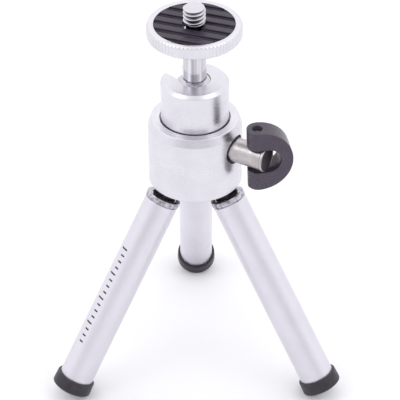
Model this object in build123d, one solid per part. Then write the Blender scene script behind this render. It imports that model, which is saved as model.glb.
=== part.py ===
from build123d import *
import math
import os

# Mini tabletop tripod: three folding legs, a body with a panning collar, and a slotted ball head
# that carries a 1/4-20 UNC camera screw.  All lengths are millimetres, all angles degrees.
# Origin: on the screw's axis, in the plane of the pad's ridge tops where a camera's base rests.
# +Z runs up the camera screw.

# ---- driving dimensions --------------------------------------------------------------------------

SCREW_R = 6.35 / 2            # 1/4-20 UNC major radius
SCREW_TOP = 6.0
SCREW_FLAT_R = 1.65           # flat end inside the lead chamfer
SCREW_LEAD = 1.0
NECK_R = 2.5                  # undercut between stem and screw, inside the pad

PAD_R = 11.4
PAD_THICK = 1.4
PAD_HOLE_R = 3.35
RIDGE_PITCH = 3.96
RIDGE_OFFSET = -2.6          # first groove's distance from the axis
GROOVE_WIDTH = 1.7
GROOVE_DEPTH = 0.7
RIDGE_AZIMUTH = -19.5

DISC_R = 13.4
DISC_TOP = -0.1
DISC_THICK = 3.7
DISC_BEVEL = 0.4
DISC_BOTTOM = DISC_TOP - DISC_THICK

STEM_R = 3.3
COLLAR_TOP = DISC_BOTTOM - 14.4
COLLAR_R = 9.75
COLLAR_CHAMFER = 1.0
COLLAR_HEIGHT = 12.5

BALL_R = 7.0
BALL_Z = COLLAR_TOP - 5.6
BALL_GAP = 0.12
SOCKET_R = BALL_R + BALL_GAP
SLOT_WIDTH = 7.3
SLOT_AZIMUTH = 133
MOUTH_CHAMFER = 0.15

BODY_TOP = COLLAR_TOP - COLLAR_HEIGHT
BODY_R = 13.45
BODY_HEIGHT = 20.6
BODY_SHOULDER_R = 12.5        # outer edge of the flat top ring
BODY_SHOULDER_DROP = 2.4
BODY_BOTTOM = BODY_TOP - BODY_HEIGHT

COUNTERBORE_R = 10.1          # the collar's foot stands in it, with a thin gap all round
COUNTERBORE_DEPTH = 1.0
WASHER_R = 9.9
WASHER_THICK = 0.35
RUNNING_GAP = 0.05            # radial gap of a running fit

SHANK_R = 8.6
SHANK_BOTTOM = BODY_TOP - 4.2
GROOVE_Z = BODY_TOP - 2.9     # middle of the retaining ring's groove

SEAT_R = 7.0
SEAT_TOP = BALL_Z - 3.7
SEAT_BOTTOM = SHANK_BOTTOM + 1.2

LOCK_AZIMUTH = 330
LOCK_Z = BODY_TOP - 7.0
SPINDLE_R = 2.5
SPINDLE_TIP = -2.0            # radial place of the cone's point, past the axis
SPINDLE_END = 15.0
CONE_ANGLE = 30
PLUNGER_R = 3.3
PLUNGER_TOP = SEAT_BOTTOM - 0.1
WEDGE_GAP = 0.15

SHAFT_R = 3.6
SHAFT_START = 9.6
SHAFT_END = 23.4
SHAFT_RIM_R = 3.78
SHAFT_BORE_START = 9.0        # floor of the body's counterbore for the shaft
END_PLUG_R = 3.45
END_PLUG_DEPTH = 0.8
KNOB_TURN = 3                 # the knob stands turned a little past upright
LEVER_PIN_U = 20.4
LEVER_PIN_R = 1.2

LEVER_AZIMUTH = 10            # the lever stands flipped 40 degrees off the shaft's line
LEVER_R = 9.65                # outer radius about the pin, and half the lever's height
LEVER_WIDTH = 6.1
LEVER_GAP = 7.7               # clear height between the arms
LEVER_SPINE = 3.4
LEVER_RECESS_R = 1.5
LEVER_RECESS_DEPTH = 1.0

LEG_AZIMUTHS = (90, 210, 330)
LEG_SPREAD = 29.5
HINGE_RADIUS = 7.2
HINGE_Z = BODY_BOTTOM + 2.2
HINGE_PIN_R = 1.0
HINGE_PIN_LENGTH = 12.0
TONGUE_WIDTH = 5.2
TONGUE_THICK = 4.0
RING_START = 6.3              # distances down the leg, from its hinge
RING_LENGTH = 1.8
RING_R = 5.12
INSERT_R = 3.5
TUBE_R = 5.0
TUBE_WALL = 0.8
TUBE_END = 71.6
FOOT_START = 68.6
FOOT_EDGE = 72.3
FOOT_R = 5.85
FOOT_DOME = 1.8

HUB_R = 11.25
HUB_HEIGHT = 5.0
HUB_SLOT_WIDTH = 5.9
HUB_SLOT_INNER = 4.6
HUB_SCREW_R = 1.5
HUB_SCREW_HEAD_R = 2.75


# ---- helpers -------------------------------------------------------------------------------------

def turned(points):
    """Solid of revolution about Z from (radius, height) corners."""
    outline = Polyline([(radius, 0, height) for radius, height in points], close=True)
    return revolve(make_face(outline), Axis.Z)


def rod(radius, start, end):
    """Cylinder along the local Z axis, between two heights."""
    length = end - start
    return Pos(0, 0, start + length / 2) * Cylinder(radius, length)


def tube(outer, inner, start, end):
    return rod(outer, start, end) - rod(inner, start, end)


def block(x_size, y_size, z_low, z_high, x_low=None):
    """Box centred in Y, and in X unless its low X side is given."""
    x_middle = 0 if x_low is None else x_low + x_size / 2
    z_size = z_high - z_low
    return Pos(x_middle, 0, z_low + z_size / 2) * Box(x_size, y_size, z_size)


def direction(azimuth):
    angle = math.radians(azimuth)
    return Vector(math.cos(angle), math.sin(angle), 0)


def outward(azimuth, height):
    """Frame on the tripod's axis whose local Z points outward at the azimuth and local X points up."""
    return Plane(origin=(0, 0, height), x_dir=(0, 0, 1), z_dir=direction(azimuth)).location


def down_leg(azimuth):
    """Frame at a leg's hinge: local Z runs down the leg, local X along the hinge pin."""
    radial = direction(azimuth)
    spread = math.radians(LEG_SPREAD)
    along = radial * math.sin(spread) - Vector(0, 0, math.cos(spread))
    origin = radial * HINGE_RADIUS + Vector(0, 0, HINGE_Z)
    return Plane(origin=origin, x_dir=direction(azimuth + 90), z_dir=along).location


def across_hinge(azimuth):
    """Frame at a leg's hinge whose local Z runs along the hinge pin."""
    origin = direction(azimuth) * HINGE_RADIUS + Vector(0, 0, HINGE_Z)
    return Plane(origin=origin, x_dir=(0, 0, 1), z_dir=direction(azimuth + 90)).location


# ---- platform ------------------------------------------------------------------------------------

def make_stem_stud():
    """Polished stem, running up through the disc as the camera screw."""
    stem_bottom = BALL_Z - 3.0
    return turned([
        (0, stem_bottom),
        (STEM_R, stem_bottom),
        (STEM_R, -PAD_THICK),
        (NECK_R, -PAD_THICK),
        (NECK_R, 0),
        (SCREW_R, 0),
        (SCREW_R, SCREW_TOP - SCREW_LEAD),
        (SCREW_FLAT_R, SCREW_TOP),
        (0, SCREW_TOP),
    ])


def make_platform_disc():
    recess_floor = -PAD_THICK
    return turned([
        (STEM_R, DISC_BOTTOM),
        (DISC_R - 0.3, DISC_BOTTOM),
        (DISC_R, DISC_BOTTOM + 0.3),
        (DISC_R, DISC_TOP - DISC_BEVEL),
        (DISC_R - DISC_BEVEL, DISC_TOP),
        (PAD_R, DISC_TOP),
        (PAD_R, recess_floor),
        (STEM_R, recess_floor),
    ])


def make_rubber_pad():
    """Round pad with straight parallel ridges; the camera's base rests on their tops."""
    pad = tube(PAD_R, PAD_HOLE_R, -PAD_THICK, 0)
    reach = int(PAD_R / RIDGE_PITCH) + 1
    for step in range(-reach, reach + 1):
        place = RIDGE_OFFSET + step * RIDGE_PITCH
        groove = block(3 * PAD_R, GROOVE_WIDTH, -GROOVE_DEPTH, 1)
        pad -= Rot(0, 0, RIDGE_AZIMUTH) * Pos(0, place, 0) * groove
    return pad


# ---- ball head -----------------------------------------------------------------------------------

def make_ball():
    bore = rod(STEM_R + RUNNING_GAP, BALL_Z - 3.1, BALL_Z + BALL_R + 1)
    return Pos(0, 0, BALL_Z) * Sphere(BALL_R) - bore


def make_ball_collar():
    """Turned collar: a socket that holds the ball's upper half, a tilt slot, and a shank in the body."""
    flange_bottom = BODY_TOP - COUNTERBORE_DEPTH + WASHER_THICK + RUNNING_GAP
    collar = turned([
        (0, COLLAR_TOP),
        (COLLAR_R - COLLAR_CHAMFER, COLLAR_TOP),
        (COLLAR_R, COLLAR_TOP - COLLAR_CHAMFER),
        (COLLAR_R, flange_bottom),
        (SHANK_R, flange_bottom),
        (SHANK_R, SHANK_BOTTOM),
        (0, SHANK_BOTTOM),
    ])
    collar -= Pos(0, 0, BALL_Z) * Sphere(SOCKET_R)
    collar -= rod(SOCKET_R, SHANK_BOTTOM - 1, BALL_Z)
    mouth_r = math.sqrt(SOCKET_R ** 2 - (COLLAR_TOP - BALL_Z) ** 2)
    collar -= turned([
        (0, COLLAR_TOP - MOUTH_CHAMFER),
        (mouth_r, COLLAR_TOP - MOUTH_CHAMFER),
        (mouth_r + MOUTH_CHAMFER, COLLAR_TOP),
        (0, COLLAR_TOP),
    ])
    slot = block(2 * COLLAR_R, SLOT_WIDTH, BALL_Z, COLLAR_TOP + 1, x_low=0)
    slot_floor = Rot(0, 90, 0) * rod(SLOT_WIDTH / 2, 0, 2 * COLLAR_R)
    collar -= Rot(0, 0, SLOT_AZIMUTH) * slot
    collar -= Rot(0, 0, SLOT_AZIMUTH) * Pos(0, 0, BALL_Z) * slot_floor
    collar -= tube(SHANK_R + 1, SHANK_R - 0.6, GROOVE_Z - 0.45, GROOVE_Z + 0.45)
    return collar


def make_collar_retainer():
    """Split wire ring that sits in the body's groove and reaches into the shank's groove."""
    ring = tube(SHANK_R + 0.6, SHANK_R - 0.35, GROOVE_Z - 0.3, GROOVE_Z + 0.3)
    gap = block(3, 1.6, GROOVE_Z - 1, GROOVE_Z + 1, x_low=SHANK_R - 1.5)
    return ring - gap


def make_pan_washer():
    floor = BODY_TOP - COUNTERBORE_DEPTH
    return tube(WASHER_R, SHANK_R + 0.15, floor, floor + WASHER_THICK)


def make_ball_seat():
    seat = rod(SEAT_R, SEAT_BOTTOM, SEAT_TOP)
    return seat - Pos(0, 0, BALL_Z) * Sphere(SOCKET_R)


# ---- lock ----------------------------------------------------------------------------------------

def make_clamp_plunger():
    """Short rod whose underside slopes like the top of the spindle's cone, so the cone lifts it."""
    slope = math.radians(CONE_ANGLE)
    plunger = rod(PLUNGER_R, PLUNGER_TOP - 5, PLUNGER_TOP)
    tip = direction(LOCK_AZIMUTH) * SPINDLE_TIP
    tip_point = Vector(tip.X, tip.Y, LOCK_Z + WEDGE_GAP / math.cos(slope))
    slope_normal = direction(LOCK_AZIMUTH) * math.sin(slope) - Vector(0, 0, math.cos(slope))
    cutter_place = Plane(origin=tip_point, z_dir=slope_normal).location
    cutter = Pos(0, 0, 10) * Box(40, 40, 20)
    return plunger - cutter_place * cutter


def make_lock_spindle():
    """Threaded rod with a conical tip; the thread's pitch is 0.8."""
    cone_length = SPINDLE_R / math.tan(math.radians(CONE_ANGLE))
    spindle = turned([
        (0, SPINDLE_TIP),
        (SPINDLE_R, SPINDLE_TIP + cone_length),
        (SPINDLE_R, SPINDLE_END),
        (0, SPINDLE_END),
    ])
    return outward(LOCK_AZIMUTH, LOCK_Z) * spindle


def make_lock_shaft():
    """Round metal shaft that the hand turns, bored for the spindle, the end plug and the lever pin."""
    shaft = turned([
        (0, SHAFT_START),
        (SHAFT_R, SHAFT_START),
        (SHAFT_R, SHAFT_END - 0.9),
        (SHAFT_RIM_R, SHAFT_END - 0.7),
        (SHAFT_RIM_R, SHAFT_END - 0.2),
        (SHAFT_RIM_R - 0.2, SHAFT_END),
        (0, SHAFT_END),
    ])
    shaft -= rod(SPINDLE_R + RUNNING_GAP, SHAFT_START - 1, SPINDLE_END + 0.3)
    shaft -= rod(END_PLUG_R, SHAFT_END - END_PLUG_DEPTH, SHAFT_END + 1)
    pin_hole = Pos(0, 0, LEVER_PIN_U) * Rot(0, 90, 0) * rod(LEVER_PIN_R, -SHAFT_R - 1, SHAFT_R + 1)
    return outward(LOCK_AZIMUTH, LOCK_Z) * Rot(0, 0, KNOB_TURN) * (shaft - pin_hole)


def make_shaft_end_plug():
    return outward(LOCK_AZIMUTH, LOCK_Z) * rod(END_PLUG_R, SHAFT_END - END_PLUG_DEPTH, SHAFT_END - 0.15)


def make_knob_seal():
    ring = tube(SHAFT_R + 0.75, SHAFT_R + 0.1, BODY_R - 2.2, BODY_R - 1.0)
    return outward(LOCK_AZIMUTH, LOCK_Z) * ring


def lever_frame():
    """Frame at the crossing of shaft and pin: local X points along the lever, local Z up the pin."""
    shaft_line = Axis((0, 0, 0), direction(LOCK_AZIMUTH))
    pin_line = Vector(0, 0, 1).rotate(shaft_line, KNOB_TURN)
    along_lever = direction(LEVER_AZIMUTH).rotate(shaft_line, KNOB_TURN)
    origin = direction(LOCK_AZIMUTH) * LEVER_PIN_U + Vector(0, 0, LOCK_Z)
    return Plane(origin=origin, x_dir=along_lever, z_dir=pin_line).location


def make_lever_pin():
    half = LEVER_R - LEVER_RECESS_DEPTH
    return lever_frame() * rod(LEVER_PIN_R, -half, half)


def make_lock_lever():
    """C-shaped bail: two arms that straddle the shaft, joined by a half-round spine."""
    half_width = LEVER_WIDTH / 2
    outer = Rot(90, 0, 0) * Cylinder(LEVER_R, LEVER_WIDTH)
    outer += block(half_width, LEVER_WIDTH, -LEVER_R, LEVER_R, x_low=-half_width)
    outer &= block(2 * LEVER_R, LEVER_WIDTH, -LEVER_R, LEVER_R, x_low=-half_width)
    rounded_ends = rod(half_width, -LEVER_R, LEVER_R)
    rounded_ends += block(LEVER_R, LEVER_WIDTH, -LEVER_R, LEVER_R, x_low=0)
    lever = outer & rounded_ends
    gap_r = LEVER_GAP / 2
    gap_centre = LEVER_R - LEVER_SPINE - gap_r
    gap = Pos(gap_centre, 0, 0) * Rot(90, 0, 0) * Cylinder(gap_r, 2 * LEVER_WIDTH)
    gap += block(gap_centre + LEVER_R, 2 * LEVER_WIDTH, -gap_r, gap_r, x_low=-LEVER_R)
    lever -= gap
    lever -= rod(LEVER_PIN_R + RUNNING_GAP, -LEVER_R - 1, LEVER_R + 1)
    for side in (-1, 1):
        floor = side * (LEVER_R - LEVER_RECESS_DEPTH)
        lever -= rod(LEVER_RECESS_R, min(floor, 2 * floor), max(floor, 2 * floor))
    return lever_frame() * lever


# ---- body and hub --------------------------------------------------------------------------------

def make_body_shell():
    bottom_edge = 0.4
    body = turned([
        (0, BODY_TOP),
        (BODY_SHOULDER_R, BODY_TOP),
        (BODY_R, BODY_TOP - BODY_SHOULDER_DROP),
        (BODY_R, BODY_BOTTOM + bottom_edge),
        (BODY_R - bottom_edge, BODY_BOTTOM),
        (0, BODY_BOTTOM),
    ])
    body -= rod(COUNTERBORE_R, BODY_TOP - COUNTERBORE_DEPTH, BODY_TOP + 1)
    body -= rod(SHANK_R + RUNNING_GAP, SHANK_BOTTOM - 0.2, BODY_TOP + 1)
    body -= tube(SHANK_R + 0.65, SHANK_R - 1, GROOVE_Z - 0.35, GROOVE_Z + 0.35)
    body -= rod(PLUNGER_R + RUNNING_GAP, LOCK_Z - 2.7, BODY_TOP)
    body -= outward(LOCK_AZIMUTH, LOCK_Z) * rod(SPINDLE_R + RUNNING_GAP, SPINDLE_TIP - 0.8, BODY_R)
    body -= outward(LOCK_AZIMUTH, LOCK_Z) * rod(SHAFT_R + 0.1, SHAFT_BORE_START, BODY_R + 1)
    body -= outward(LOCK_AZIMUTH, LOCK_Z) * rod(SHAFT_R + 0.75, BODY_R - 2.2, BODY_R + 1)
    body -= rod(HUB_R, BODY_BOTTOM - 1, BODY_BOTTOM + HUB_HEIGHT)
    body -= rod(HUB_SCREW_R, BODY_BOTTOM, BODY_BOTTOM + 9)
    return body


def make_leg_hub():
    """Round block in the body's foot with three radial slots for the leg tongues."""
    hub = rod(HUB_R, BODY_BOTTOM, BODY_BOTTOM + HUB_HEIGHT)
    slot_top = BODY_BOTTOM + HUB_HEIGHT - 0.5
    for azimuth in LEG_AZIMUTHS:
        slot = block(HUB_R, HUB_SLOT_WIDTH, BODY_BOTTOM - 1, slot_top, x_low=HUB_SLOT_INNER)
        hub -= Rot(0, 0, azimuth) * slot
        hub -= across_hinge(azimuth) * rod(HINGE_PIN_R, -HUB_R, HUB_R)
    hub -= rod(HUB_SCREW_R, BODY_BOTTOM - 1, BODY_BOTTOM + HUB_HEIGHT + 1)
    hub -= rod(HUB_SCREW_HEAD_R, BODY_BOTTOM - 1, BODY_BOTTOM + 1.8)
    return hub


def make_hub_screw():
    head_bottom = BODY_BOTTOM + 0.2
    head_top = BODY_BOTTOM + 1.8
    screw = rod(HUB_SCREW_HEAD_R - 0.05, head_bottom, head_top) + rod(HUB_SCREW_R, head_top, BODY_BOTTOM + 9)
    socket = extrude(RegularPolygon(1.1, 6), 1.0)
    return screw - Pos(0, 0, head_bottom) * socket


def make_hinge_pin(azimuth):
    half = HINGE_PIN_LENGTH / 2
    return across_hinge(azimuth) * rod(HINGE_PIN_R, -half, half)


def make_hinge_washers(azimuth):
    """Pair of thin friction washers, one on each side of the tongue."""
    inner_face = TONGUE_WIDTH / 2 + 0.05
    outer_face = HUB_SLOT_WIDTH / 2
    near = tube(1.9, HINGE_PIN_R, -outer_face, -inner_face)
    far = tube(1.9, HINGE_PIN_R, inner_face, outer_face)
    return across_hinge(azimuth) * Compound(children=[near, far])


# ---- legs ----------------------------------------------------------------------------------------

def make_leg_plug(azimuth):
    """Tongue that swings on the hinge pin, with a round insert that fills the tube's end."""
    half_thick = TONGUE_THICK / 2
    knuckle = Rot(0, 90, 0) * Cylinder(half_thick, TONGUE_WIDTH)
    tongue = block(TONGUE_WIDTH, TONGUE_THICK, 0, RING_START + 1)
    insert = rod(INSERT_R, RING_START + 0.35, RING_START + RING_LENGTH)
    core = rod(TUBE_R - TUBE_WALL, RING_START + RING_LENGTH, RING_START + 7)
    plug = knuckle + tongue + insert + core
    plug -= Rot(0, 90, 0) * Cylinder(HINGE_PIN_R + RUNNING_GAP, 2 * TONGUE_WIDTH)
    return down_leg(azimuth) * plug


def make_leg_ring(azimuth):
    ring_end = RING_START + RING_LENGTH
    ring = turned([
        (INSERT_R, RING_START + 0.3),
        (INSERT_R + 0.3, RING_START),
        (RING_R - 0.35, RING_START),
        (RING_R, RING_START + 0.35),
        (RING_R, ring_end),
        (INSERT_R, ring_end),
    ])
    return down_leg(azimuth) * ring


def make_leg_tube(azimuth):
    return down_leg(azimuth) * tube(TUBE_R, TUBE_R - TUBE_WALL, RING_START + RING_LENGTH, TUBE_END)


def make_rubber_foot(azimuth):
    """Cup pushed over the tube's end, with a shallow domed sole."""
    rim_round = 0.25
    base = turned([
        (TUBE_R, FOOT_START),
        (FOOT_R - rim_round, FOOT_START),
        (FOOT_R, FOOT_START + rim_round),
        (FOOT_R, FOOT_EDGE),
        (0, FOOT_EDGE),
        (0, TUBE_END),
        (TUBE_R, TUBE_END),
    ])
    sphere_r = (FOOT_R ** 2 + FOOT_DOME ** 2) / (2 * FOOT_DOME)
    sphere = Pos(0, 0, FOOT_EDGE + FOOT_DOME - sphere_r) * Sphere(sphere_r)
    dome = sphere & rod(FOOT_R, FOOT_EDGE, FOOT_EDGE + 2 * FOOT_DOME)
    return down_leg(azimuth) * (base + dome)


# ---- assembly ------------------------------------------------------------------------------------

PARTS = {
    "stem_stud": make_stem_stud(),
    "platform_disc": make_platform_disc(),
    "rubber_pad": make_rubber_pad(),
    "ball": make_ball(),
    "ball_collar": make_ball_collar(),
    "collar_retainer": make_collar_retainer(),
    "pan_washer": make_pan_washer(),
    "ball_seat": make_ball_seat(),
    "clamp_plunger": make_clamp_plunger(),
    "lock_spindle": make_lock_spindle(),
    "lock_shaft": make_lock_shaft(),
    "shaft_end_plug": make_shaft_end_plug(),
    "knob_seal": make_knob_seal(),
    "lever_pin": make_lever_pin(),
    "lock_lever": make_lock_lever(),
    "body_shell": make_body_shell(),
    "leg_hub": make_leg_hub(),
    "hub_screw": make_hub_screw(),
}
for number, leg_azimuth in enumerate(LEG_AZIMUTHS, start=1):
    PARTS[f"hinge_pin_{number}"] = make_hinge_pin(leg_azimuth)
    PARTS[f"hinge_washers_{number}"] = make_hinge_washers(leg_azimuth)
    PARTS[f"leg_plug_{number}"] = make_leg_plug(leg_azimuth)
    PARTS[f"leg_ring_{number}"] = make_leg_ring(leg_azimuth)
    PARTS[f"leg_tube_{number}"] = make_leg_tube(leg_azimuth)
    PARTS[f"rubber_foot_{number}"] = make_rubber_foot(leg_azimuth)

os.makedirs("parts", exist_ok=True)
for name, shape in PARTS.items():
    export_step(shape, f"parts/{name}.step")
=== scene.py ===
import math

import bmesh
import bpy
from mathutils import Matrix, Vector


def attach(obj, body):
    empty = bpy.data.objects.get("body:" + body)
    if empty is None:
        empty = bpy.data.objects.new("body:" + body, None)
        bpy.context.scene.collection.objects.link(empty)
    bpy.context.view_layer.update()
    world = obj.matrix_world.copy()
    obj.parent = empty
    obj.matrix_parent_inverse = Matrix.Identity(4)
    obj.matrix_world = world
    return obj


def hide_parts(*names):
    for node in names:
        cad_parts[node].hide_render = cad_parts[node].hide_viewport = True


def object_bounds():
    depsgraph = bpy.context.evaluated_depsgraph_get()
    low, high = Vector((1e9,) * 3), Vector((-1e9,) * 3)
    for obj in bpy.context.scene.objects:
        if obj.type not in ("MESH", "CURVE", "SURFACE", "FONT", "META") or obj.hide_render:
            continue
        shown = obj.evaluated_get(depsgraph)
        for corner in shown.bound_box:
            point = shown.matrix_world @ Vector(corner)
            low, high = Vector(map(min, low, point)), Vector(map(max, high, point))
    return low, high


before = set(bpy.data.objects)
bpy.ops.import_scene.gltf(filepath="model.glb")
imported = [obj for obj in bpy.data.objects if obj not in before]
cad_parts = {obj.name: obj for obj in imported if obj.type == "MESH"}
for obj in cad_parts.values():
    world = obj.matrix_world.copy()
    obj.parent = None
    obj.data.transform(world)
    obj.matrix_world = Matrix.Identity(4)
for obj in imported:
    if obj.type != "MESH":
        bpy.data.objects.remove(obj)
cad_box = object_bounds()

# Looks of the mini tripod.  Lengths in the tables below are millimetres in the row frame: the origin is
# on the screw's axis in the plane of the pad's ridge tops, +Z runs up.

MM = 0.001

# ---- dimensions, as in the CAD model ---------------------------------------------------------------

SCREW_R = 3.175
SCREW_TOP = 6.0
SCREW_FLAT_R = 1.65
SCREW_LEAD = 1.0
THREAD_PITCH = 1.27
THREAD_ROOT_R = 2.42
THREAD_FIRST = 0.35           # height where the lowest turn has its full depth
THREAD_PHASE = 0.17           # share of a turn

PAD_R = 11.4
PAD_THICK = 1.4
PAD_HOLE_R = 3.35
RIDGE_PITCH = 3.96
RIDGE_OFFSET = -2.6
GROOVE_WIDTH = 1.7
GROOVE_DEPTH = 0.7
RIDGE_AZIMUTH = -19.5

DISC_R = 13.4
DISC_TOP = -0.1
DISC_BOTTOM = -3.8
DISC_BEVEL = 0.4
FLUTES = 72
FLUTE_DEPTH = 0.19

STEM_R = 3.3
BALL_Z = -23.8
BALL_R = 7.0
SOCKET_R = 7.12
COLLAR_TOP = -18.2
COLLAR_R = 9.75
COLLAR_CHAMFER = 1.0
MOUTH_LIP = 0.06              # broken edge round the socket's mouth
COLLAR_BOTTOM = -31.3
SLOT_WIDTH = 7.3
SLOT_AZIMUTH = 133
SHANK_R = 8.6
SHANK_BOTTOM = -34.9

BODY_TOP = -30.7
BODY_BOTTOM = -51.3
BODY_R = 13.45
BODY_SHOULDER_R = 12.5
BODY_SHOULDER_DROP = 2.4
COUNTERBORE_R = 10.1
COUNTERBORE_DEPTH = 1.0
HUB_R = 11.25
HUB_HEIGHT = 5.0

LOCK_AZIMUTH = 330
LOCK_Z = -37.7
SHAFT_R = 3.6
SHAFT_START = 9.6
SHAFT_END = 23.4
SHAFT_RIM_R = 3.78
END_PLUG_R = 3.45
END_PLUG_DEPTH = 0.8
KNOB_TURN = 3                 # the knob stands turned a little past upright
SEAL_OUTER_R = 4.35
SEAL_START = 11.25
LEVER_PIN_U = 20.4

LEVER_AZIMUTH = 10
LEVER_R = 9.65
LEVER_WIDTH = 6.1
LEVER_GAP = 7.7
LEVER_SPINE = 3.4
LEVER_RECESS_R = 1.5
LEVER_RECESS_DEPTH = 1.0

LEG_AZIMUTHS = {1: 90, 2: 210, 3: 330}
LEG_SPREAD = 29.5
HINGE_RADIUS = 7.2
HINGE_Z = -49.1
RING_START = 6.3
RING_LENGTH = 1.8
RING_R = 5.12
INSERT_R = 3.5
TUBE_R = 5.0
TUBE_END = 71.6
FOOT_START = 68.6
FOOT_EDGE = 72.3
FOOT_R = 5.85
FOOT_DOME = 1.8
SOLE_R = 5.55

TICKS = 16                    # plain scale printed on leg 2
TICK_START = 25.0
TICK_PITCH = 2.1
TICK_WIDTH = 0.5
TICK_ANGLE = 74
TICK_SHORT = 16
TICK_LONG = 26


# ---- mesh helpers ----------------------------------------------------------------------------------

def direction(azimuth):
    angle = math.radians(azimuth)
    return Vector((math.cos(angle), math.sin(angle), 0))


def axes(origin, x_axis, z_axis):
    """Matrix of a local frame whose axes are unit vectors; lengths stay in millimetres."""
    y_axis = z_axis.cross(x_axis)
    rows = Matrix((x_axis, y_axis, z_axis)).transposed().to_4x4()
    return Matrix.Translation(origin) @ rows


def outward(azimuth, height):
    """Frame on the tripod's axis: local Z points outward at the azimuth, local X up."""
    return axes(Vector((0, 0, height)), Vector((0, 0, 1)), direction(azimuth))


def down_leg(azimuth):
    """Frame at a leg's hinge: local Z runs down the leg, local X along the hinge pin."""
    spread = math.radians(LEG_SPREAD)
    radial = direction(azimuth)
    along = radial * math.sin(spread) - Vector((0, 0, math.cos(spread)))
    return axes(radial * HINGE_RADIUS + Vector((0, 0, HINGE_Z)), direction(azimuth + 90), along)


def lever_frame():
    """Frame at the crossing of shaft and lever pin: local X points along the lever."""
    origin = direction(LOCK_AZIMUTH) * LEVER_PIN_U + Vector((0, 0, LOCK_Z))
    turn = Matrix.Rotation(math.radians(KNOB_TURN), 3, direction(LOCK_AZIMUTH))
    return axes(origin, turn @ direction(LEVER_AZIMUTH), turn @ Vector((0, 0, 1)))


def add_object(name, bm, place=None):
    """Turns a bmesh in millimetres into an object in metres, with faces pointing outward."""
    bmesh.ops.remove_doubles(bm, verts=bm.verts, dist=1e-5)
    bmesh.ops.recalc_face_normals(bm, faces=bm.faces)
    if place is not None:
        bm.transform(place)
    bm.transform(Matrix.Scale(MM, 4))
    mesh = bpy.data.meshes.new(name)
    bm.to_mesh(mesh)
    bm.free()
    obj = bpy.data.objects.new(name, mesh)
    bpy.context.scene.collection.objects.link(obj)
    return obj


def rounded(corners, steps=4):
    """Profile from (radius, height[, fillet]) corners; a corner with a fillet becomes a short arc."""
    points = []
    for index, corner in enumerate(corners):
        here = Vector(corner[:2])
        fillet = corner[2] if len(corner) > 2 else 0
        if not fillet:
            points.append(here)
            continue
        before = Vector(corners[index - 1][:2])
        after = Vector(corners[(index + 1) % len(corners)][:2])
        start = here + (before - here).normalized() * min(fillet, (before - here).length * 0.49)
        end = here + (after - here).normalized() * min(fillet, (after - here).length * 0.49)
        for step in range(steps + 1):
            t = step / steps
            points.append(start * (1 - t) ** 2 + here * 2 * t * (1 - t) + end * t ** 2)
    return points


def lathe(name, corners, segments=128, place=None, swell=None):
    """Solid of revolution about local Z.  A profile that leaves the axis at both ends is closed on itself.
    swell(angle, radius, height) gives a vertex's own radius, for flutes and the like."""
    profile = rounded(corners)
    on_axis = [point.x < 1e-6 for point in profile]
    bm = bmesh.new()
    rings = []
    for point, central in zip(profile, on_axis):
        if central:
            rings.append([bm.verts.new((0, 0, point.y))] * segments)
            continue
        ring = []
        for step in range(segments):
            angle = 2 * math.pi * step / segments
            radius = swell(angle, point.x, point.y) if swell else point.x
            ring.append(bm.verts.new((radius * math.cos(angle), radius * math.sin(angle), point.y)))
        rings.append(ring)
    pairs = list(zip(rings, rings[1:]))
    if not on_axis[0]:
        pairs.append((rings[-1], rings[0]))
    for lower, upper in pairs:
        for step in range(segments):
            after = (step + 1) % segments
            quad = [lower[step], lower[after], upper[after], upper[step]]
            face = list(dict.fromkeys(quad))
            if len(face) > 2:
                bm.faces.new(face)
    return add_object(name, bm, place)


def prism(name, outline, low, high, place=None):
    """Straight prism along local Z over a closed outline of (x, y) points."""
    bm = bmesh.new()
    bottom = [bm.verts.new((x, y, low)) for x, y in outline]
    top = [bm.verts.new((x, y, high)) for x, y in outline]
    bm.faces.new(bottom)
    bm.faces.new(top)
    for index in range(len(outline)):
        after = (index + 1) % len(outline)
        bm.faces.new([bottom[index], bottom[after], top[after], top[index]])
    return add_object(name, bm, place)


def arc(centre, radius, start, end, steps):
    """Points on a circle from one angle to another, in degrees."""
    points = []
    for step in range(steps + 1):
        angle = math.radians(start + (end - start) * step / steps)
        points.append((centre[0] + radius * math.cos(angle), centre[1] + radius * math.sin(angle)))
    return points


def apply_modifiers(obj):
    graph = bpy.context.evaluated_depsgraph_get()
    mesh = bpy.data.meshes.new_from_object(obj.evaluated_get(graph))
    obj.modifiers.clear()
    obj.data = mesh


def combine(obj, tool, operation="DIFFERENCE"):
    """Cuts the tool from the object, or keeps what the two share, and removes the tool."""
    modifier = obj.modifiers.new("combine", "BOOLEAN")
    modifier.operation = operation
    modifier.solver = "EXACT"
    modifier.object = tool
    apply_modifiers(obj)
    bpy.data.objects.remove(tool)
    return obj


def soften(obj, width, segments=3, angle=35):
    """Real rounded edges of that width, in millimetres."""
    modifier = obj.modifiers.new("soften", "BEVEL")
    modifier.width = width * MM
    modifier.segments = segments
    modifier.limit_method = "ANGLE"
    modifier.angle_limit = math.radians(angle)
    modifier.use_clamp_overlap = False
    modifier.harden_normals = False
    apply_modifiers(obj)
    return obj


def shade(obj, angle=32):
    """Smooth shading that breaks at edges sharper than the angle, with flat faces kept flat."""
    obj.data.shade_smooth()
    obj.data.set_sharp_from_angle(angle=math.radians(angle))
    modifier = obj.modifiers.new("even normals", "WEIGHTED_NORMAL")
    modifier.keep_sharp = True
    modifier.weight = 80


def finish_piece(obj, body, material, replaces=()):
    """Gives the piece its material, and ties it to its body and to the CAD nodes it stands for."""
    obj.data.materials.clear()
    obj.data.materials.append(material)
    shade(obj)
    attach(obj, body)
    if replaces:
        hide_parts(*replaces)
    return obj


# ---- material helpers ------------------------------------------------------------------------------

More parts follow.
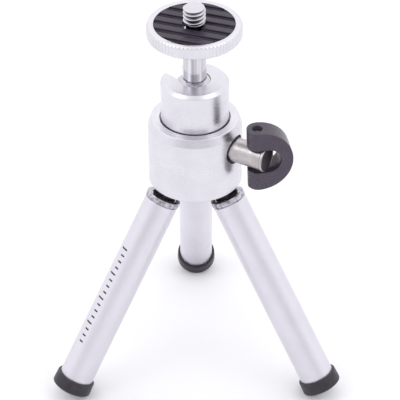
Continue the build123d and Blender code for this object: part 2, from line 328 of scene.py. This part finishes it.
class Surface:
    """A Principled material with shorthands for the procedural nodes that the finishes share."""

    def __init__(self, name, colour, roughness, metallic=0.0, **sockets):
        self.material = bpy.data.materials.new(name)
        self.material.use_nodes = True
        self.nodes = self.material.node_tree.nodes
        self.links = self.material.node_tree.links
        self.shader = self.nodes["Principled BSDF"]
        self.shader.inputs["Base Color"].default_value = (*colour, 1)
        self.shader.inputs["Roughness"].default_value = roughness
        self.shader.inputs["Metallic"].default_value = metallic
        for socket, value in sockets.items():
            self.shader.inputs[socket.replace("_", " ")].default_value = value
        self.material.diffuse_color = (*colour, 1)
        self.normal = None

    def node(self, kind, **settings):
        made = self.nodes.new(kind)
        for key, value in settings.items():
            if key in made.inputs:
                made.inputs[key].default_value = value
            else:
                setattr(made, key, value)
        return made

    def place(self):
        """The piece's own coordinates, in metres."""
        return self.node("ShaderNodeTexCoord").outputs["Object"]

    def math(self, operation, first, second=None):
        made = self.node("ShaderNodeMath", operation=operation)
        for index, value in enumerate((first, second)):
            if value is None:
                continue
            if isinstance(value, (int, float)):
                made.inputs[index].default_value = value
            else:
                self.links.new(value, made.inputs[index])
        return made.outputs[0]

    def turned_place(self):
        """One number that changes only across a lathe tool's marks: radius plus height, in metres."""
        split = self.node("ShaderNodeSeparateXYZ")
        self.links.new(self.place(), split.inputs[0])
        squares = [self.math("MULTIPLY", split.outputs[i], split.outputs[i]) for i in (0, 1)]
        radius = self.math("SQRT", self.math("ADD", *squares))
        return self.math("ADD", radius, self.math("MULTIPLY", split.outputs[2], 1.31))

    def noise(self, size, detail=2.0, stretch=(1, 1, 1), source=None):
        """Noise with features of about that size in millimetres; stretch lengthens them along an axis."""
        made = self.node("ShaderNodeTexNoise", Detail=detail, Scale=1.0)
        mapping = self.node("ShaderNodeMapping")
        scale = [1 / (size * MM * factor) for factor in stretch]
        mapping.inputs["Scale"].default_value = scale
        self.links.new(source or self.place(), mapping.inputs[0])
        self.links.new(mapping.outputs[0], made.inputs["Vector"])
        return made.outputs["Fac"]

    def lines(self, size, detail=1.0):
        """Fine rings that follow the lathe."""
        made = self.node("ShaderNodeTexNoise", noise_dimensions="1D", Detail=detail, Scale=1.0)
        self.links.new(self.math("MULTIPLY", self.turned_place(), 1 / (size * MM)), made.inputs["W"])
        return made.outputs["Fac"]

    def ramp(self, value, low, high, start=0.3, end=0.7):
        """Numbers from low to high as the value runs from start to end."""
        made = self.node("ShaderNodeMapRange")
        for socket, number in (("From Min", start), ("From Max", end), ("To Min", low), ("To Max", high)):
            made.inputs[socket].default_value = number
        self.links.new(value, made.inputs["Value"])
        return made.outputs[0]

    def colours(self, value, low, high, start=0.3, end=0.7):
        """A colour between two, by the value."""
        made = self.node("ShaderNodeValToRGB")
        made.color_ramp.elements[0].position = start
        made.color_ramp.elements[0].color = (*low, 1)
        made.color_ramp.elements[1].position = end
        made.color_ramp.elements[1].color = (*high, 1)
        self.links.new(value, made.inputs[0])
        return made.outputs[0]

    def set(self, socket, value):
        self.links.new(value, self.shader.inputs[socket])

    def round_edges(self, radius):
        """Edges catch the light as if rounded to that radius, in millimetres."""
        made = self.node("ShaderNodeBevel", samples=6, Radius=radius * MM)
        self.normal = made.outputs[0]
        self.links.new(self.normal, self.shader.inputs["Normal"])

    def bump(self, height, depth, strength=1.0):
        """Relief of that depth in millimetres, on top of any before it."""
        made = self.node("ShaderNodeBump", Strength=strength, Distance=depth * MM)
        self.links.new(height, made.inputs["Height"])
        if self.normal is not None:
            self.links.new(self.normal, made.inputs["Normal"])
        self.normal = made.outputs[0]
        self.links.new(self.normal, self.shader.inputs["Normal"])


RING_SHARE = 0.6              # how much of a turned surface's uneven gloss follows the lathe's rings


def turned_metal(name, colour, roughness, edge, line_depth):
    """Lathe-turned metal: fine rings, a little uneven gloss and a faint tint that wanders."""
    surface = Surface(name, colour, roughness, metallic=1.0)
    dim = [channel * 0.93 for channel in colour]
    surface.set("Base Color", surface.colours(surface.noise(6, detail=3), dim, colour))
    rings = surface.lines(0.35, detail=3)
    smudges = surface.noise(4, detail=4)
    ring_part = surface.math("MULTIPLY", rings, RING_SHARE)
    smudge_part = surface.math("MULTIPLY", smudges, 1 - RING_SHARE)
    mixed = surface.math("ADD", ring_part, smudge_part)
    surface.set("Roughness", surface.ramp(mixed, roughness * 0.75, roughness * 1.3))
    surface.round_edges(edge)
    surface.bump(surface.lines(0.22, detail=2), line_depth)
    return surface.material


def chrome_painted_reflections(name, colour, roughness, size, stretch, darkest):
    """Plated metal with painted reflections: dark streaks or blotches in its colour, down to a darkest share
    of it, stand in for surroundings mirrored in the plating; its polish wanders too.
    """
    surface = Surface(name, colour, roughness, metallic=1.0)
    # Painted reflection: this noise darkens the colour where mirrored surroundings would show.
    streaks = surface.noise(size, detail=3, stretch=stretch)
    deep = [channel * darkest for channel in colour]
    pale = [min(1.0, channel * 1.15) for channel in colour]
    surface.set("Base Color", surface.colours(streaks, deep, pale, 0.34, 0.62))
    clouds = surface.noise(size * 2, detail=4)
    surface.set("Roughness", surface.ramp(clouds, roughness * 0.7, roughness * 1.4))
    surface.round_edges(0.08)
    surface.bump(surface.noise(size * 0.5, detail=2, stretch=stretch), 0.004)
    return surface.material


def satin_tube(name, colour, roughness):
    """Blasted and anodised tube: fine grain with a faint tint that wanders."""
    surface = Surface(name, colour, roughness, metallic=1.0)
    dim = [channel * 0.95 for channel in colour]
    surface.set("Base Color", surface.colours(surface.noise(9, detail=3), dim, colour))
    surface.set("Roughness", surface.ramp(surface.noise(1.5, detail=5), roughness * 0.85, roughness * 1.15))
    surface.round_edges(0.12)
    surface.bump(surface.noise(0.16, detail=2), 0.006)
    return surface.material


def rubber(name, colour, roughness, grain, edge):
    surface = Surface(name, colour, roughness, Specular_IOR_Level=0.45)
    pale = [channel * 1.5 + 0.004 for channel in colour]
    surface.set("Base Color", surface.colours(surface.noise(1.8, detail=5), colour, pale, 0.35, 0.75))
    surface.set("Roughness", surface.ramp(surface.noise(0.9, detail=4), roughness * 0.8, roughness * 1.25))
    surface.round_edges(edge)
    surface.bump(surface.noise(0.35, detail=4), grain)
    return surface.material


# ---- finishes --------------------------------------------------------------------------------------

ALUMINIUM = (0.735, 0.72, 0.765)
polished = turned_metal("polished_aluminium", ALUMINIUM, 0.30, 0.22, 0.0005)
knurled = turned_metal("knurled_aluminium", (0.74, 0.725, 0.765), 0.30, 0.04, 0.0006)
chrome = turned_metal("chrome", (0.62, 0.605, 0.65), 0.10, 0.10, 0.0004)
tube_metal = satin_tube("satin_aluminium", (0.74, 0.72, 0.78), 0.36)
# Painted reflections: the stem's long vertical streaks and the ring's dark blotches stand in for mirrored
# surroundings.
stem_chrome_painted_reflections = chrome_painted_reflections("stem_chrome_painted_reflections", (0.66, 0.645, 0.685), 0.13, 1.3, (1, 1, 60), 0.62)
ring_metal_painted_reflections = chrome_painted_reflections("ring_metal_painted_reflections", (0.52, 0.50, 0.56), 0.14, 1.1, (1, 1, 1), 0.45)


def make_shaft_metal():
    """Machined steel, a little warm, with cloudy patches."""
    colour = (0.50, 0.47, 0.475)
    surface = Surface("shaft_steel", colour, 0.3, metallic=1.0)
    clouds = surface.noise(1.8, detail=5)
    surface.set("Base Color", surface.colours(clouds, (0.44, 0.41, 0.41), (0.56, 0.53, 0.54)))
    surface.set("Roughness", surface.ramp(surface.noise(0.8, detail=4), 0.26, 0.38))
    surface.round_edges(0.12)
    surface.bump(surface.noise(0.3, detail=3), 0.003)
    return surface.material


def make_screw_metal_painted_valley_shade():
    """Plated screw with painted shade: the thread's colour darkens down in its valleys."""
    pale = (0.70, 0.68, 0.73)
    surface = Surface("screw_metal", pale, 0.12, metallic=1.0)
    split = surface.node("ShaderNodeSeparateXYZ")
    surface.links.new(surface.place(), split.inputs[0])
    height = split.outputs[2]
    squares = [surface.math("MULTIPLY", split.outputs[i], split.outputs[i]) for i in (0, 1)]
    radius = surface.math("SQRT", surface.math("ADD", *squares))
    # Painted shade: depth below the crest line, as a share of the thread's full depth, darkens the colour to
    # near-black at the root.
    slope = (SCREW_R - SCREW_FLAT_R) / SCREW_LEAD
    below_top = surface.math("SUBTRACT", SCREW_TOP * MM, height)
    lead = surface.math("ADD", surface.math("MULTIPLY", below_top, slope), SCREW_FLAT_R * MM)
    depth = surface.math("SUBTRACT", surface.math("MINIMUM", lead, SCREW_R * MM), radius)
    off_flat = surface.math("GREATER_THAN", below_top, 0.03 * MM)
    full_shade_depth = (SCREW_R - THREAD_ROOT_R) * MM
    share = surface.math("MULTIPLY", surface.math("MULTIPLY", depth, off_flat), 1 / full_shade_depth)
    surface.set("Base Color", surface.colours(share, pale, (0.20, 0.185, 0.215), 0.22, 0.9))
    surface.set("Roughness", surface.ramp(surface.noise(0.8, detail=4), 0.10, 0.2))
    surface.round_edges(0.03)
    surface.bump(surface.noise(0.25, detail=3), 0.002)
    return surface.material


def make_lever_plastic():
    """Moulded plastic: dark grey with a fine spark-eroded grain."""
    colour = (0.050, 0.038, 0.062)
    surface = Surface("lever_plastic", colour, 0.28, Specular_IOR_Level=0.5)
    clouds = surface.noise(2.5, detail=5)
    surface.set("Base Color", surface.colours(clouds, (0.044, 0.033, 0.055), (0.056, 0.043, 0.069)))
    surface.set("Roughness", surface.ramp(surface.noise(0.7, detail=3), 0.22, 0.34))
    surface.round_edges(0.3)
    surface.bump(surface.noise(0.22, detail=3), 0.01)
    return surface.material


shaft_metal = make_shaft_metal()
screw_metal = make_screw_metal_painted_valley_shade()
lever_plastic = make_lever_plastic()
black_plastic = rubber("black_plastic", (0.016, 0.013, 0.017), 0.3, 0.004, 0.1)
plug_plastic = rubber("plug_plastic", (0.042, 0.034, 0.044), 0.35, 0.006, 0.1)
pad_rubber = rubber("pad_rubber", (0.024, 0.017, 0.032), 0.4, 0.012, 0.12)
foot_rubber = rubber("foot_rubber", (0.020, 0.016, 0.024), 0.42, 0.012, 0.15)
# Painted reflection: the sole's light grey stands in for the white floor mirrored in the black rubber.
sole_painted_reflection = rubber("sole_painted_reflection", (0.30, 0.29, 0.315), 0.2, 0.002, 0.05)
ink = rubber("ink", (0.020, 0.018, 0.026), 0.55, 0.003, 0.02)
seal_rubber = rubber("seal_rubber", (0.010, 0.009, 0.011), 0.5, 0.006, 0.05)
small_steel = turned_metal("small_steel", (0.55, 0.54, 0.55), 0.25, 0.05, 0.0010)
zinc = turned_metal("zinc_casting", (0.45, 0.45, 0.47), 0.42, 0.15, 0.0020)
brass = turned_metal("brass", (0.75, 0.60, 0.32), 0.3, 0.1, 0.0010)


# ---- platform --------------------------------------------------------------------------------------

def screw_radius(height, turn):
    """Radius of the threaded end at a height, where turn is the angle as a share of a full turn."""
    phase = (height / THREAD_PITCH - turn + THREAD_PHASE) % 1.0
    ridge = max(0.0, 1 - abs(phase - 0.5) / 0.42)
    ridge = min(1.0, ridge * 1.18)
    grown = min(1.0, max(0.0, (height - THREAD_FIRST) / 0.5 + 0.5))
    radius = THREAD_ROOT_R + (SCREW_R - THREAD_ROOT_R) * ridge * grown
    lead = SCREW_FLAT_R + (SCREW_TOP - height) * (SCREW_R - SCREW_FLAT_R) / SCREW_LEAD
    return min(radius, lead)


def make_stem():
    """Polished stem between ball and disc."""
    return lathe("head_stem", [
        (0, BALL_Z - 3.0),
        (STEM_R, BALL_Z - 3.0, 0.2),
        (STEM_R, DISC_BOTTOM - 6),
        (STEM_R, DISC_BOTTOM),
        (STEM_R, -PAD_THICK - 0.05, 0.1),
        (THREAD_ROOT_R - 0.2, -PAD_THICK - 0.05),
        (0, -PAD_THICK - 0.05),
    ], segments=96)


def make_camera_screw():
    """Camera screw with a true helical thread and a lead chamfer."""
    columns = 120
    rows = 180
    neck = -PAD_THICK - 0.4
    heights = [neck + (SCREW_TOP - neck) * row / rows for row in range(rows + 1)]
    bm = bmesh.new()
    rings = [[(0, neck)] * columns]
    for height in heights:
        rings.append([(screw_radius(height, step / columns), height) for step in range(columns)])
    rings.append([(0, SCREW_TOP)] * columns)
    loops = []
    for ring in rings:
        loop = []
        for step, (radius, height) in enumerate(ring):
            angle = 2 * math.pi * step / columns
            loop.append(bm.verts.new((radius * math.cos(angle), radius * math.sin(angle), height)))
        loops.append(loop)
    for lower, upper in zip(loops, loops[1:]):
        for step in range(columns):
            after = (step + 1) % columns
            bm.faces.new([lower[step], lower[after], upper[after], upper[step]])
    return add_object("camera_screw", bm)


def make_disc():
    """Platform disc with straight flutes round its edge."""
    def fluted(angle, radius, height):
        if radius < DISC_R - DISC_BEVEL + 0.05:
            return radius
        wave = 0.5 + 0.5 * math.cos(FLUTES * angle)
        share = (radius - (DISC_R - DISC_BEVEL)) / DISC_BEVEL
        return radius - FLUTE_DEPTH * (1 - wave) ** 2 * min(1.0, share)

    return lathe("knurled_disc", [
        (STEM_R, DISC_BOTTOM),
        (DISC_R - 0.3, DISC_BOTTOM, 0.1),
        (DISC_R, DISC_BOTTOM + 0.3, 0.15),
        (DISC_R, DISC_TOP - DISC_BEVEL, 0.15),
        (DISC_R - DISC_BEVEL, DISC_TOP, 0.1),
        (PAD_R + 0.05, DISC_TOP, 0.08),
        (PAD_R + 0.05, -PAD_THICK),
        (STEM_R, -PAD_THICK),
    ], segments=FLUTES * 10, swell=fluted)


def make_pad():
    """Rubber pad with straight ridges and rounded grooves."""
    pad = lathe("ridged_pad", [
        (PAD_HOLE_R, -PAD_THICK),
        (PAD_R, -PAD_THICK),
        (PAD_R, 0),
        (PAD_HOLE_R, 0),
    ], segments=144)
    reach = int(PAD_R / RIDGE_PITCH) + 1
    half = GROOVE_WIDTH / 2
    outline = [(-half, 1), *arc((-half + 0.3, -GROOVE_DEPTH + 0.3), 0.3, 180, 270, 4)]
    outline += [*arc((half - 0.3, -GROOVE_DEPTH + 0.3), 0.3, 270, 360, 4), (half, 1)]
    across = Matrix.Rotation(math.radians(RIDGE_AZIMUTH), 4, "Z")
    stand = axes(Vector((0, 0, 0)), Vector((0, 1, 0)), Vector((1, 0, 0)))
    for step in range(-reach, reach + 1):
        shift = Matrix.Translation((0, RIDGE_OFFSET + step * RIDGE_PITCH, 0))
        groove = prism("groove", outline, -2 * PAD_R, 2 * PAD_R, across @ shift @ stand)
        combine(pad, groove)
    soften_ridges(pad)
    return pad


def soften_ridges(pad):
    """Rounds the pad's sharp edges, apart from those round its hole."""
    hole = (PAD_HOLE_R + 0.02) * MM
    bm = bmesh.new()
    bm.from_mesh(pad.data)
    sharp = []
    for edge in bm.edges:
        at_hole = all(vert.co.xy.length < hole for vert in edge.verts)
        if not at_hole and edge.calc_face_angle(0) > math.radians(50):
            sharp.append(edge)
    bmesh.ops.bevel(bm, geom=sharp, offset=0.16 * MM, offset_type="OFFSET", segments=3, profile=0.5,
                    affect="EDGES", clamp_overlap=False)
    bm.to_mesh(pad.data)
    bm.free()


# ---- ball head -------------------------------------------------------------------------------------

def make_collar():
    lip = COLLAR_TOP - BALL_Z - MOUTH_LIP
    socket = arc((0, BALL_Z), SOCKET_R, 0, math.degrees(math.asin(lip / SOCKET_R)), 14)
    collar = lathe("turned_collar", [
        *socket,
        (socket[-1][0] + MOUTH_LIP, COLLAR_TOP),
        (COLLAR_R - COLLAR_CHAMFER, COLLAR_TOP, 0.12),
        (COLLAR_R, COLLAR_TOP - COLLAR_CHAMFER, 0.12),
        (COLLAR_R, COLLAR_BOTTOM, 0.12),
        (SHANK_R, COLLAR_BOTTOM),
        (SHANK_R, SHANK_BOTTOM),
        (SOCKET_R, SHANK_BOTTOM),
    ], segments=256)
    half = SLOT_WIDTH / 2
    outline = [(half, 10), *arc((0, 0), half, 0, -180, 32), (-half, 10)]
    radial = direction(SLOT_AZIMUTH)
    stand = axes(Vector((0, 0, BALL_Z)), direction(SLOT_AZIMUTH + 90), radial)
    slot = prism("slot", outline, 0, 2 * COLLAR_R, stand)
    return combine(collar, slot)


def make_ball():
    """Chrome ball bored for the stem."""
    bore = STEM_R + 0.05
    reach = math.degrees(math.acos(bore / BALL_R))
    outline = arc((0, BALL_Z), BALL_R, -reach, reach, 48)
    return lathe("chrome_ball", outline, segments=96)


# ---- body ------------------------------------------------------------------------------------------

def make_body():
    body = lathe("turned_body", [
        (0, SHANK_BOTTOM - 0.2),
        (SHANK_R + 0.05, SHANK_BOTTOM - 0.2),
        (SHANK_R + 0.05, BODY_TOP - COUNTERBORE_DEPTH),
        (COUNTERBORE_R, BODY_TOP - COUNTERBORE_DEPTH),
        (COUNTERBORE_R, BODY_TOP, 0.1),
        (BODY_SHOULDER_R, BODY_TOP, 0.15),
        (BODY_R, BODY_TOP - BODY_SHOULDER_DROP, 0.25),
        (BODY_R, BODY_BOTTOM, 0.4),
        (HUB_R, BODY_BOTTOM, 0.1),
        (HUB_R, BODY_BOTTOM + HUB_HEIGHT),
        (0, BODY_BOTTOM + HUB_HEIGHT),
    ], segments=256)
    place = outward(LOCK_AZIMUTH, LOCK_Z)
    seat = prism("seal_seat", arc((0, 0), SEAL_OUTER_R, 0, 357.5, 143), SEAL_START, BODY_R + 3, place)
    return combine(body, seat)


# ---- lock ------------------------------------------------------------------------------------------

def make_shaft():
    return lathe("grip_shaft", [
        (0, SHAFT_START),
        (SHAFT_R, SHAFT_START),
        (SHAFT_R, SHAFT_END - 0.95, 0.1),
        (SHAFT_RIM_R, SHAFT_END - 0.72, 0.1),
        (SHAFT_RIM_R, SHAFT_END, 0.22),
        (END_PLUG_R, SHAFT_END, 0.08),
        (END_PLUG_R, SHAFT_END - END_PLUG_DEPTH),
        (0, SHAFT_END - END_PLUG_DEPTH),
    ], segments=96, place=outward(LOCK_AZIMUTH, LOCK_Z))


def make_lever():
    """C-shaped bail: a half-round spine and two arms whose ends round off about the pin."""
    half_width = LEVER_WIDTH / 2
    gap_r = LEVER_GAP / 2
    gap_centre = LEVER_R - LEVER_SPINE - gap_r
    outline = [(-half_width, LEVER_R), *arc((0, 0), LEVER_R, 90, -90, 96), (-half_width, -LEVER_R)]
    outline += [(-half_width, -gap_r), *arc((gap_centre, 0), gap_r, -90, 90, 64), (-half_width, gap_r)]
    side_on = axes(Vector((0, 0, 0)), Vector((1, 0, 0)), Vector((0, -1, 0)))
    lever = prism("flip_lever", outline, -half_width, half_width, side_on)
    plan = [*arc((0, 0), half_width, 90, 270, 48), (LEVER_R + 1, -half_width), (LEVER_R + 1, half_width)]
    ends = prism("ends", plan, -LEVER_R - 1, LEVER_R + 1)
    combine(lever, ends, "INTERSECT")
    for side in (-1, 1):
        floor = side * (LEVER_R - LEVER_RECESS_DEPTH)
        low, high = sorted((floor, 2 * floor))
        recess = prism("recess", arc((0, 0), LEVER_RECESS_R, 0, 352.5, 47), low, high)
        combine(lever, recess)
    lever.data.transform(Matrix.Scale(MM, 4) @ lever_frame() @ Matrix.Scale(1 / MM, 4))
    return lever


# ---- legs ------------------------------------------------------------------------------------------

def make_ring(number, place):
    ring_end = RING_START + RING_LENGTH
    return lathe(f"top_ring_{number}", [
        (INSERT_R, RING_START, 0.25),
        (RING_R, RING_START, 0.3),
        (RING_R, ring_end - 0.3, 0.08),
        (RING_R - 0.5, ring_end - 0.3),
        (RING_R - 0.5, ring_end),
        (INSERT_R, ring_end),
    ], segments=96, place=place)


def make_tube(number, place):
    start = RING_START + RING_LENGTH
    return lathe(f"tube_{number}", [
        (TUBE_R - 0.8, start),
        (TUBE_R - 0.1, start),
        (TUBE_R, start + 0.15),
        (TUBE_R, start + 20),
        (TUBE_R, start + 40),
        (TUBE_R, TUBE_END),
        (TUBE_R - 0.8, TUBE_END),
    ], segments=128, place=place)


def make_foot(number, place):
    """Cup over the tube's end, with a rolled rim."""
    return lathe(f"foot_{number}", [
        (0, TUBE_END),
        (TUBE_R + 0.02, TUBE_END),
        (TUBE_R + 0.02, FOOT_START, 0.1),
        (FOOT_R - 0.12, FOOT_START, 0.28),
        (FOOT_R, FOOT_EDGE - 0.1, 0.2),
        (SOLE_R, FOOT_EDGE + 0.15),
        (0, FOOT_EDGE + 0.15),
    ], segments=96, place=place)


def make_sole(number, place):
    """Smooth shallow dome under the foot."""
    start = FOOT_EDGE + 0.1
    dome = FOOT_EDGE + FOOT_DOME - start
    sphere_r = (SOLE_R ** 2 + dome ** 2) / (2 * dome)
    centre = FOOT_EDGE + FOOT_DOME - sphere_r
    reach = math.degrees(math.asin(SOLE_R / sphere_r))
    face = arc((0, centre), sphere_r, 90 - reach, 90, 14)
    face[-1] = (0, FOOT_EDGE + FOOT_DOME)
    return lathe(f"sole_{number}", [(0, FOOT_EDGE), (SOLE_R, FOOT_EDGE), *face], segments=96, place=place)


def make_scale(place):
    """Plain printed ticks along one tube: thin curved patches, every fourth one longer."""
    bm = bmesh.new()
    for index in range(TICKS):
        middle = TICK_START + TICK_PITCH * index
        sweep = math.radians(TICK_LONG if index % 4 == 0 else TICK_SHORT)
        steps = 6
        rows = []
        for height in (middle - TICK_WIDTH / 2, middle + TICK_WIDTH / 2):
            for radius in (TUBE_R - 0.02, TUBE_R + 0.012):
                row = []
                for step in range(steps + 1):
                    angle = math.radians(TICK_ANGLE) + sweep * step / steps
                    row.append(bm.verts.new((radius * math.cos(angle), radius * math.sin(angle), height)))
                rows.append(row)
        low_in, low_out, high_in, high_out = rows
        for first, second in ((low_in, low_out), (low_out, high_out), (high_out, high_in), (high_in, low_in)):
            for step in range(steps):
                bm.faces.new([first[step], first[step + 1], second[step + 1], second[step]])
        for end in (0, -1):
            bm.faces.new([low_in[end], low_out[end], high_out[end], high_in[end]])
    return add_object("leg_scale", bm, place)


# ---- assembly --------------------------------------------------------------------------------------

finish_piece(make_stem(), "platform", stem_chrome_painted_reflections, ["stem_stud"])
finish_piece(make_camera_screw(), "platform", screw_metal, ["stem_stud"])
finish_piece(make_disc(), "platform", knurled, ["platform_disc"])
finish_piece(make_pad(), "platform", pad_rubber, ["rubber_pad"])
finish_piece(make_ball(), "ball", chrome, ["ball"])
finish_piece(make_collar(), "pan_head", polished, ["ball_collar"])
finish_piece(make_body(), "base", polished, ["body_shell"])
finish_piece(make_shaft(), "shaft", shaft_metal, ["lock_shaft"])
finish_piece(make_lever(), "lever", lever_plastic, ["lock_lever"])
leg_pieces = (
    (make_ring, ring_metal_painted_reflections, "polished_aluminium", "leg_ring"),
    (make_tube, tube_metal, "satin_aluminium", "leg_tube"),
    (make_foot, foot_rubber, "rubber", "rubber_foot"),
    (make_sole, sole_painted_reflection, "rubber", "rubber_foot"),
)
for leg_number, leg_azimuth in LEG_AZIMUTHS.items():
    leg_place = down_leg(leg_azimuth)
    for make, finish, slot_name, node_stem in leg_pieces:
        leg_piece = make(leg_number, leg_place)
        finish_piece(leg_piece, f"leg_{leg_number}", finish, [f"{node_stem}_{leg_number}"])

finish_piece(make_scale(down_leg(LEG_AZIMUTHS[2])), "leg_2", ink)

node_materials = {
    "shaft_end_plug": plug_plastic,
    "knob_seal": seal_rubber,
    "pan_washer": black_plastic,
    "lever_pin": small_steel,
    "lock_spindle": small_steel,
    "hub_screw": small_steel,
    "clamp_plunger": small_steel,
    "collar_retainer": small_steel,
    "leg_hub": zinc,
    "ball_seat": brass,
}
for leg_number in LEG_AZIMUTHS:
    node_materials[f"leg_plug_{leg_number}"] = black_plastic
    node_materials[f"hinge_pin_{leg_number}"] = small_steel
    node_materials[f"hinge_washers_{leg_number}"] = small_steel
for node_name, node_material in node_materials.items():
    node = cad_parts[node_name]
    for slot_entry in node.material_slots:
        slot_entry.material = node_material


# ---- floor, light and camera -----------------------------------------------------------------------

FLOOR_Z = cad_box[0][2]
TARGET = Vector((1.3, 0, -59.9))
CAMERA_ELEVATION = 35.25
CAMERA_ROLL = -0.3
CAMERA_DISTANCE = 700
CAMERA_LENS = 216.5
WORLD_BRIGHT = (1.14, 1.14, 1.16, 1)
WORLD_FRONT = (0.78, 0.78, 0.80, 1)      # the room is darker behind the camera
WORLD_FADE = (-0.35, -0.95)              # where the room starts and ends to darken, as a direction's Y
FLOOR_RADIUS = 4000


def make_floor():
    surface = Surface("floor_white", (0.91, 0.91, 0.92), 0.9)
    clouds = surface.noise(900, detail=1)
    surface.set("Base Color", surface.colours(clouds, (0.90, 0.90, 0.91), (0.92, 0.92, 0.93)))
    bm = bmesh.new()
    bmesh.ops.create_circle(bm, cap_ends=True, segments=64, radius=FLOOR_RADIUS)
    floor = add_object("floor", bm)
    floor.location.z = FLOOR_Z
    floor.data.materials.append(surface.material)


def aim(obj, target, back, roll=0.0):
    """Turns a camera or light at a place to face the target, both in millimetres."""
    forward = (target - back).normalized()
    right = forward.cross(Vector((0, 0, 1))).normalized()
    up = right.cross(forward)
    turn = math.radians(roll)
    right_rolled = right * math.cos(turn) + up * math.sin(turn)
    up_rolled = up * math.cos(turn) - right * math.sin(turn)
    pose = Matrix((right_rolled, up_rolled, -forward)).transposed().to_4x4()
    obj.matrix_world = Matrix.Translation(back * MM) @ pose


def softbox(name, azimuth, elevation, distance, width, height, power):
    """Rectangular light that faces the object."""
    light = bpy.data.lights.new(name, "AREA")
    light.shape = "RECTANGLE"
    light.size = width * MM
    light.size_y = height * MM
    light.energy = power
    obj = bpy.data.objects.new(name, light)
    bpy.context.scene.collection.objects.link(obj)
    lift = math.radians(elevation)
    place = direction(azimuth) * math.cos(lift) + Vector((0, 0, math.sin(lift)))
    aim(obj, TARGET, TARGET + place * distance)
    return obj


def make_world():
    world = bpy.data.worlds.new("studio")
    bpy.context.scene.world = world
    world.use_nodes = True
    nodes = world.node_tree.nodes
    links = world.node_tree.links
    background = nodes["Background"]
    background.inputs["Strength"].default_value = 1.0
    split = nodes.new("ShaderNodeSeparateXYZ")
    links.new(nodes.new("ShaderNodeTexCoord").outputs["Generated"], split.inputs[0])
    toward_front = nodes.new("ShaderNodeMapRange")
    toward_front.interpolation_type = "SMOOTHSTEP"
    toward_front.inputs["From Min"].default_value = WORLD_FADE[0]
    toward_front.inputs["From Max"].default_value = WORLD_FADE[1]
    links.new(split.outputs[1], toward_front.inputs["Value"])
    mix = nodes.new("ShaderNodeMix")
    mix.data_type = "RGBA"
    mix.inputs[6].default_value = WORLD_BRIGHT
    mix.inputs[7].default_value = WORLD_FRONT
    links.new(toward_front.outputs[0], mix.inputs[0])
    links.new(mix.outputs[2], background.inputs["Color"])


make_floor()
make_world()
softbox("softbox_left", 210, 48, 700, 300, 260, 0.32)
softbox("softbox_right", 330, 48, 700, 300, 260, 0.32)
softbox("softbox_back", 90, 60, 800, 800, 500, 0.5)

camera_data = bpy.data.cameras.new("camera")
camera_data.lens = CAMERA_LENS
camera_data.sensor_width = 36
camera_data.clip_start = 0.02
camera_data.clip_end = 50
camera = bpy.data.objects.new("camera", camera_data)
bpy.context.scene.collection.objects.link(camera)
tilt = math.radians(CAMERA_ELEVATION)
camera_back = TARGET + Vector((0, -math.cos(tilt), math.sin(tilt))) * CAMERA_DISTANCE
aim(camera, TARGET, camera_back, CAMERA_ROLL)
bpy.context.scene.camera = camera
bpy.context.scene.view_settings.view_transform = "Standard"
